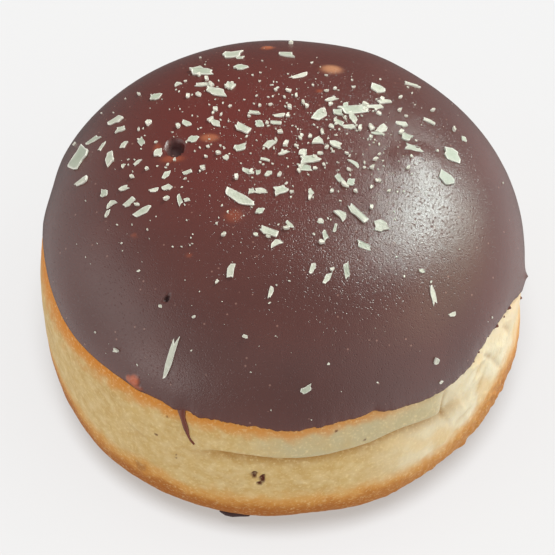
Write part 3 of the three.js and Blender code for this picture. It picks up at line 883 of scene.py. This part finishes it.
FRONT_FLAKES = [
    (-7.6, -7.8, 5.8, 2.0, -32), (-0.5, -5.9, 2.8, 2.0, 15), (-3.9, -6.2, 2.6, 1.2, -2),
    (-2.6, -15.0, 3.6, 1.6, -22), (-8.7, -22.7, 3.2, 1.5, 87), (-18.7, -35.4, 7.6, 1.2, 65),
    (-1.0, -17.3, 2.6, 1.2, 35), (4.6, -40.6, 2.3, 1.1, 48), (11.2, -22.0, 3.4, 0.9, -80),
    (5.3, -22.0, 2.5, 1.0, 86), (7.4, -15.3, 2.6, 0.9, -77), (7.9, -23.7, 2.3, 1.0, 68),
    (-1.8, -26.8, 2.4, 0.9, 77), (-4.0, -10.6, 1.8, 1.0, 38), (1.2, -13.4, 1.7, 0.8, -43),
    (-5.6, -6.2, 1.2, 1.2, 0), (6.6, -12.5, 1.4, 1.1, -21), (9.1, -13.9, 1.9, 0.6, 78),
    (-20.7, -27.8, 0.7, 0.6, 0), (-4.6, -15.6, 0.9, 0.8, 0),
]
FLAKES = LEFT_FLAKES + FAR_FLAKES + CROWN_FLAKES + RIGHT_FLAKES + FRONT_FLAKES
FLAKE_THICK = 0.44
FLAKE_SINK = 0.12  # how deep a flake's foot lies in the chocolate
FLAKE_TILT = 0.05  # how far it may lean, in radians
FLAKE_SEED = 11
RAGGED_ROOM = (1.04, 1.06)  # the ragged outline lies inside the chip's box, so the box is larger by this
SUNK = (24.0, -4.0, 11.0)  # flakes here lie sunk in the chocolate and look duller: x, y and reach
# How many shapes of chip there are, and between which numbers of corners
FLAKE_KINDS, FLAKE_CORNERS = 14, (8, 13)
CRUMB_KINDS, CRUMB_CORNERS = 7, (4, 8)
# Rings of a chip from its foot to its top: size, height, and how white its broken rim is there, partly as
# a painted highlight
CHIP_RINGS = [(0.98, 0.0, 0.5), (1.0, 0.85, 0.9), (0.96, 1.0, 1.0), (0.82, 0.9, 0.15)]
CHIP_MIDDLE = 0.88  # height of the middle of its top
CHIP_SQUARE = 10  # how square its outline is: 2 is an ellipse, more is nearer to a rectangle
HALVINGS = 30  # steps in the search for a place on the dome
# Crumbs scattered on the chocolate: pieces per square metre, smallest and largest in millimetres, seed
SCATTERED = {"crumbs": (260000.0, 0.45, 1.5, 3), "dust": (330000.0, 0.14, 0.4, 8)}


def on_glaze(x, y, stand):
    """Place and outward direction on the chocolate at plan positions in millimetres."""
    bearing = np.degrees(np.arctan2(y - AXIS[1], x - AXIS[0]))
    plan = np.hypot(x - AXIS[0], y - AXIS[1])
    low = np.zeros_like(plan)
    high = np.full_like(plan, math.pi / 2)
    for _ in range(HALVINGS):
        middle = (low + high) / 2
        out, _, across, _, _ = section(middle)
        inside = out + across * GLAZE_STAND > plan
        low = np.where(inside, middle, low)
        high = np.where(inside, high, middle)
    return skin(bearing, low, GLAZE_STAND + stand)


def chip_mesh(name, corners, ragged, dull, random):
    """Broken chip one unit long, wide and thick, with a ragged outline and an uneven top."""
    angle = (np.arange(corners) + random.uniform(-0.36, 0.36, corners)) * 2 * math.pi / corners
    across, along = np.abs(np.cos(angle)), np.abs(np.sin(angle))
    box = 0.5 / (across**CHIP_SQUARE + along**CHIP_SQUARE) ** (1 / CHIP_SQUARE)
    reach = box * random.uniform(1 - ragged, 1.08, corners)
    lean = random.uniform(-0.5, 0.5, 2)
    points, rims = [], []
    for size, high, rim in CHIP_RINGS:
        uneven = random.uniform(-0.12, 0.12, corners)
        for a, r, lift in zip(angle, reach * size, uneven):
            x, y = math.cos(a) * r, math.sin(a) * r
            points.append((x, y, high + (lift + lean[0] * x + lean[1] * y) * (high > 0)))
            rims.append(rim * random.uniform(0.5, 1.0))
    rings = len(CHIP_RINGS)
    faces = [
        (row + i, row + (i + 1) % corners, row + corners + (i + 1) % corners, row + corners + i)
        for row in range(0, (rings - 1) * corners, corners)
        for i in range(corners)
    ]
    faces.append(tuple(reversed(range(corners))))
    points.append((0, 0, CHIP_MIDDLE))
    rims.append(0.0)
    last = (rings - 1) * corners
    faces += [(last + i, last + (i + 1) % corners, last + corners) for i in range(corners)]
    mesh = bpy.data.meshes.new(name)
    mesh.from_pydata(points, [], faces)
    mesh.attributes.new("rim", "FLOAT", "POINT").data.foreach_set("value", rims)
    mesh.attributes.new("dull", "FLOAT", "POINT").data.foreach_set("value", [dull] * len(points))
    return mesh


def chip_shapes(name, kinds, corners, ragged, dull, seed):
    """Collection of chips with different numbers of corners, some of them duller than others."""
    random = np.random.default_rng(seed)
    shapes = bpy.data.collections.new(name)
    bpy.context.scene.collection.children.link(shapes)
    for kind in range(kinds):
        mesh = chip_mesh(
            f"{name}_{kind}", int(random.integers(*corners)), ragged, dull * random.uniform(0, 1), random
        )
        shapes.objects.link(bpy.data.objects.new(mesh.name, mesh))
    return shapes


def flake_points():
    """Point mesh with the turn and size of each listed flake, and how far it lies sunk."""
    random = np.random.default_rng(FLAKE_SEED)
    x, y, long, wide, heading = (np.array(column, float) for column in zip(*FLAKES))
    places, outward = on_glaze(x, y, -FLAKE_SINK)
    along = np.stack([np.cos(np.radians(heading)), np.sin(np.radians(heading)), 0 * heading], -1)
    along -= outward * (along * outward).sum(-1, keepdims=True)
    turns = []
    for normal, way, tilt in zip(outward, along, random.uniform(-FLAKE_TILT, FLAKE_TILT, len(x))):
        z_axis, x_axis = Vector(normal).normalized(), Vector(way).normalized()
        turn = Matrix((x_axis, z_axis.cross(x_axis), z_axis)).transposed()
        turns.append((turn @ Matrix.Rotation(tilt, 3, "Y")).to_euler())
    thick = FLAKE_THICK * random.uniform(0.8, 1.15, len(x)) * np.clip(wide / 1.5, 0.75, 1.0)
    sizes = np.stack([long * RAGGED_ROOM[0], wide * RAGGED_ROOM[1], thick], -1) * MM
    mesh = bpy.data.meshes.new("flakes")
    mesh.from_pydata((places * MM).tolist(), [], [])
    for name, vectors in (("turn", np.array(turns)), ("size", sizes)):
        mesh.attributes.new(name, "FLOAT_VECTOR", "POINT").data.foreach_set("vector", vectors.ravel())
    sunk_x, sunk_y, sunk_reach = SUNK
    sunk = 0.75 * np.exp(-((np.hypot(x - sunk_x, y - sunk_y) / sunk_reach) ** 2))
    mesh.attributes.new("sunk", "FLOAT", "POINT").data.foreach_set("value", sunk)
    return mesh


def tree_with_inputs(name, inputs):
    """Empty Geometry Nodes tree with named inputs, and the identifiers they are set by."""
    tree = bpy.data.node_groups.new(name, "GeometryNodeTree")
    tree.interface.new_socket("Geometry", in_out="INPUT", socket_type="NodeSocketGeometry")
    keys = {
        label: tree.interface.new_socket(label, in_out="INPUT", socket_type=kind).identifier
        for label, kind in inputs.items()
    }
    tree.interface.new_socket("Geometry", in_out="OUTPUT", socket_type="NodeSocketGeometry")
    return tree, keys


def lay_chips(tree, given, points, turn, size):
    """Ends a tree with one of the chips on each point, as real geometry in one material."""
    chips = add_node(
        tree,
        "GeometryNodeCollectionInfo",
        {"Separate Children": True, "Reset Children": True},
        {"Collection": given["Chip shapes"]},
    )
    laid = add_node(
        tree,
        "GeometryNodeInstanceOnPoints",
        {"Pick Instance": True},
        {"Points": points, "Instance": chips.outputs[0], "Rotation": turn, "Scale": size},
    )
    real = add_node(tree, "GeometryNodeRealizeInstances", links={"Geometry": laid.outputs[0]})
    coated = add_node(
        tree, "GeometryNodeSetMaterial", links={"Geometry": real.outputs[0], "Material": given["Finish"]}
    )
    add_node(tree, "NodeGroupOutput", links={0: coated.outputs[0]})


# A random value's sockets for numbers: the least, the most, and the number drawn
LEAST, MOST, DRAWN = 2, 3, 1
CRUMB_SHAPE = (1.0, 0.6, 0.4)  # a crumb's width and thickness beside its length


def flake_tree():
    """Geometry Nodes: one chip on each point, turned and sized as the point says."""
    inputs = {
        "Chip shapes": "NodeSocketCollection",
        "Size": "NodeSocketFloat",
        "Finish": "NodeSocketMaterial",
    }
    tree, keys = tree_with_inputs("flakes laid on chocolate", inputs)
    given = add_node(tree, "NodeGroupInput").outputs
    turn, size = (
        add_node(tree, "GeometryNodeInputNamedAttribute", {"data_type": "FLOAT_VECTOR", "Name": name})
        for name in ("turn", "size")
    )
    sized = add_node(
        tree, "ShaderNodeVectorMath", {"operation": "SCALE"}, {0: size.outputs[0], "Scale": given["Size"]}
    )
    lay_chips(tree, given, given["Geometry"], turn.outputs[0], sized.outputs[0])
    return tree, keys


def crumb_turn(tree, standing, seed):
    """Turns each crumb about the direction it stands in by a random angle."""
    spin = add_node(
        tree,
        "FunctionNodeRandomValue",
        {"data_type": "FLOAT", LEAST: 0.0, MOST: 2 * math.pi},
        {"Seed": seed},
    )
    twist = add_node(
        tree, "FunctionNodeAxisAngleToRotation", {"Axis": (0, 0, 1)}, {"Angle": spin.outputs[DRAWN]}
    )
    turn = add_node(
        tree,
        "FunctionNodeRotateRotation",
        {"rotation_space": "LOCAL"},
        {"Rotation": standing, "Rotate By": twist.outputs[0]},
    )
    return turn.outputs[0]


def crumb_size(tree, smallest, largest):
    """Random size between two limits; the third power makes large crumbs rare."""
    draw = add_node(tree, "FunctionNodeRandomValue", {"data_type": "FLOAT", LEAST: 0.0, MOST: 1.0})
    rare = add_node(tree, "ShaderNodeMath", {"operation": "POWER", 1: 3.0}, {0: draw.outputs[DRAWN]})
    long = add_node(
        tree,
        "ShaderNodeMapRange",
        links={"Value": rare.outputs[0], "To Min": smallest, "To Max": largest},
    )
    slender = add_node(
        tree, "ShaderNodeVectorMath", {"operation": "SCALE", 0: CRUMB_SHAPE}, {"Scale": long.outputs[0]}
    )
    return slender.outputs[0]


def crumb_tree():
    """Geometry Nodes: crumbs of random size, scattered as thickly as the surface's attribute says."""
    inputs = {
        "Chip shapes": "NodeSocketCollection",
        "Crumbs per square metre": "NodeSocketFloat",
        "Smallest": "NodeSocketFloat",
        "Largest": "NodeSocketFloat",
        "Seed": "NodeSocketInt",
        "Finish": "NodeSocketMaterial",
    }
    tree, keys = tree_with_inputs("crumbs scattered on chocolate", inputs)
    given = add_node(tree, "NodeGroupInput").outputs
    thick = add_node(tree, "GeometryNodeInputNamedAttribute", {"data_type": "FLOAT", "Name": "crumbs"})
    density = worked_out(tree, "MULTIPLY", thick.outputs[0], given["Crumbs per square metre"])
    dropped = add_node(
        tree,
        "GeometryNodeDistributePointsOnFaces",
        {"distribute_method": "RANDOM"},
        {"Mesh": given["Geometry"], "Density": density, "Seed": given["Seed"]},
    ).outputs
    turn = crumb_turn(tree, dropped["Rotation"], given["Seed"])
    size = crumb_size(tree, given["Smallest"], given["Largest"])
    lay_chips(tree, given, dropped["Points"], turn, size)
    return tree, keys


def grown(name, mesh, tree, keys, given):
    """Piece made by a Geometry Nodes tree on a mesh, left as a plain mesh."""
    carrier = add_object(name, mesh)
    modifier = carrier.modifiers.new(name, "NODES")
    modifier.node_group = tree
    for label, value in given.items():
        modifier[keys[label]] = value
    bpy.context.view_layer.update()
    ready = carrier.evaluated_get(bpy.context.evaluated_depsgraph_get())
    result = bpy.data.meshes.new_from_object(ready)
    result.name = name
    carrier.modifiers.clear()
    carrier.data = result
    return carrier


# Camera, floor and light

CAMERA_DISTANCE = 474.0
CAMERA_CLIMB = 52.0
CAMERA_ROLL = 1.3
LENS, SENSOR = 164.2, 36.0
IMAGE_SIDE = 555.0
IMAGE_OFFSET = (3.8, 10.2)  # where the bun's centre lies off the middle of the image, in pixels


def add_camera():
    """Camera above the front of the bun, turned a little, as in the photo."""
    data = bpy.data.cameras.new("camera")
    data.lens = LENS
    data.sensor_width = SENSOR
    data.sensor_fit = "HORIZONTAL"
    data.shift_x = -IMAGE_OFFSET[0] / IMAGE_SIDE
    data.shift_y = IMAGE_OFFSET[1] / IMAGE_SIDE
    camera = bpy.data.objects.new("camera", data)
    climb, roll = math.radians(CAMERA_CLIMB), math.radians(CAMERA_ROLL)
    right = Vector((1, 0, 0))
    up = Vector((0, math.sin(climb), math.cos(climb)))
    back = Vector((0, -math.cos(climb), math.sin(climb)))
    across = right * math.cos(roll) + up * math.sin(roll)
    upward = up * math.cos(roll) - right * math.sin(roll)
    camera.matrix_world = Matrix((across, upward, back)).transposed().to_4x4()
    camera.location = (Vector((0, 0, EQUATOR)) + back * CAMERA_DISTANCE) * MM
    bpy.context.scene.collection.objects.link(camera)
    bpy.context.scene.camera = camera


FLOOR_HALF = 3.0  # in metres
FLOOR_GLOW = 0.4  # the card is lit from below too, which keeps the shadow round the foot soft
FLOOR_TINT = (1.0, 0.95, 0.9, 1)
CEILING_WAY = (-90, 71)  # azimuth and climb
CEILING_ANGLE = 20.0
CEILING_POWER = 6.1
CEILING_TINT = (0.89, 0.945, 1.0)


def add_floor():
    """Backlit white card: matt, and even all over."""
    material, tree = new_material("backlit white card")
    settings = {
        "Base Color": colour("7c7c7c"),
        "Roughness": 0.9,
        "Specular IOR Level": 0.0,
        "Emission Color": FLOOR_TINT,
        "Emission Strength": FLOOR_GLOW,
    }
    end_material(tree, settings)
    mesh = bpy.data.meshes.new("floor")
    corners = [(-1, -1), (1, -1), (1, 1), (-1, 1)]
    mesh.from_pydata([(x * FLOOR_HALF, y * FLOOR_HALF, 0) for x, y in corners], [], [(0, 1, 2, 3)])
    mesh.materials.append(material)
    floor = add_object("floor", mesh)
    floor.visible_glossy = False
    return floor


# Softboxes: azimuth, climb, distance and size in metres, power, colour, and what it gives the bun
SOFTBOXES = {
    "key": (48, 42, 0.7, (0.16, 0.16), 3.4, (1.0, 1.0, 0.97), "light"),
    "window": (47, 47, 0.7, (0.18, 0.14), 5.2, (0.84, 1.0, 0.95), "sheen"),
    "low window": (30, 33, 0.7, (0.18, 0.18), 1.2, (0.84, 1.0, 0.88), "sheen"),
    "left": (188, 28, 0.8, (0.6, 0.5), 1.0, (1.0, 1.0, 0.98), "sheen"),
    "front left": (-137, 8, 0.8, (0.3, 0.35), 0.8, (0.97, 1.0, 0.98), "sheen"),
    "right": (2, 32, 0.8, (0.6, 0.5), 0.9, (1.0, 0.97, 0.5), "sheen"),
}


def direction(azimuth, climb):
    """Unit direction from the bun towards an azimuth and a climb in degrees."""
    a, c = math.radians(azimuth), math.radians(climb)
    return Vector((math.cos(a) * math.cos(c), math.sin(a) * math.cos(c), math.sin(c)))


def add_softbox(name, azimuth, climb, distance, size, power, tint, gives, lit):
    """Rectangular soft light that faces the bun and gives the bun alone either light or sheen."""
    data = bpy.data.lights.new(name, "AREA")
    data.shape = "RECTANGLE"
    data.size, data.size_y = size
    data.energy = power
    data.color = tint
    lamp = bpy.data.objects.new(name, data)
    way = direction(azimuth, climb)
    lamp.location = way * distance + Vector((0, 0, EQUATOR * MM))
    lamp.rotation_euler = way.to_track_quat("Z", "Y").to_euler()
    lamp.light_linking.receiver_collection = lit
    lamp.visible_diffuse = gives == "light"
    lamp.visible_glossy = gives == "sheen"
    bpy.context.scene.collection.objects.link(lamp)


def add_ceiling(floor):
    """Broad light high in front, which lights the card alone and keeps the shadow close under the bun."""
    data = bpy.data.lights.new("ceiling", "SUN")
    data.angle = math.radians(CEILING_ANGLE)
    data.energy = CEILING_POWER
    data.color = CEILING_TINT
    lamp = bpy.data.objects.new("ceiling", data)
    lamp.rotation_euler = direction(*CEILING_WAY).to_track_quat("Z", "Y").to_euler()
    card = bpy.data.collections.new("lit by the ceiling")
    card.objects.link(floor)
    lamp.light_linking.receiver_collection = card
    bpy.context.scene.collection.objects.link(lamp)


# The room's glow: axis it grows along, where it starts and ends, and how much it adds at its end
ROOM_BASE = 0.2
ROOM_GLOWS = [
    ("X", 0.15, 0.95, 1.35),
    ("X", -0.3, -0.95, 1.1),
    ("Y", -0.1, -0.8, 0.5),
    ("Z", 0.2, 0.95, 0.32),
]
ROOM_TINT = (1.0, 0.995, 0.985, 1)


def add_room():
    """Studio round the bun: dim, brighter at both sides, in front and above."""
    world = bpy.data.worlds.new("studio")
    world.use_nodes = True
    tree = world.node_tree
    tree.nodes.clear()
    way = add_node(tree, "ShaderNodeTexCoord").outputs["Generated"]
    axes = add_node(tree, "ShaderNodeSeparateXYZ", links={0: way}).outputs
    glow = add_node(tree, "ShaderNodeMath", {"operation": "ADD", 0: ROOM_BASE, 1: 0.0}).outputs[0]
    for axis, start, end, bright in ROOM_GLOWS:
        more = ranged(tree, axes[axis], start, end, 0.0, bright, "SMOOTHSTEP")
        glow = worked_out(tree, "ADD", glow, more)
    light = add_node(tree, "ShaderNodeBackground", {"Color": ROOM_TINT}, {"Strength": glow})
    add_node(tree, "ShaderNodeOutputWorld", links={"Surface": light.outputs[0]})
    bpy.context.scene.world = world


# The pieces

dough = add_object("dough_surface", dough_mesh())
dough.data.materials.append(fried_dough())
coat = glaze_mesh()
drips = [run_mesh(RUN), run_mesh(TONGUE), run_mesh(SMEAR, SMEAR_PAINTED_SHADE)]
drips += [loose_crumb_mesh(*crumb) for crumb in LOOSE_CRUMBS]
glaze = add_object("glaze_surface", joined("glaze", [coat] + drips))
glaze.data.materials.append(set_chocolate())

flake_finish = pale_flake()
flake_shapes = chip_shapes("flake", FLAKE_KINDS, FLAKE_CORNERS, ragged=0.4, dull=0.9, seed=12)
crumb_shapes = chip_shapes("crumb", CRUMB_KINDS, CRUMB_CORNERS, ragged=0.5, dull=0.3, seed=6)
laid = {"Chip shapes": flake_shapes, "Size": 1.0, "Finish": flake_finish}
flakes = grown("flakes", flake_points(), *flake_tree(), laid)
scatter = crumb_tree()
toppings = [flakes]
for name, (density, smallest, largest, seed) in SCATTERED.items():
    scattered = {
        "Chip shapes": crumb_shapes,
        "Crumbs per square metre": density,
        "Smallest": smallest * MM,
        "Largest": largest * MM,
        "Seed": seed,
        "Finish": flake_finish,
    }
    toppings.append(grown(name, coat.copy(), *scatter, scattered))
for shapes in (flake_shapes, crumb_shapes):
    for shape in list(shapes.objects):
        bpy.data.objects.remove(shape)
    bpy.data.collections.remove(shapes)

lit = bpy.data.collections.new("lit by the softboxes")
slots = [(dough, "dough"), (glaze, "glaze")] + [(topping, "glaze") for topping in toppings]
for piece, slot in slots:
    lit.objects.link(piece)
    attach(piece, "root")
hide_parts("dough")
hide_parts("glaze")

add_camera()
add_ceiling(add_floor())
add_room()
for name, box in SOFTBOXES.items():
    add_softbox(name, *box, lit)
bpy.context.scene.view_settings.view_transform = "Standard"
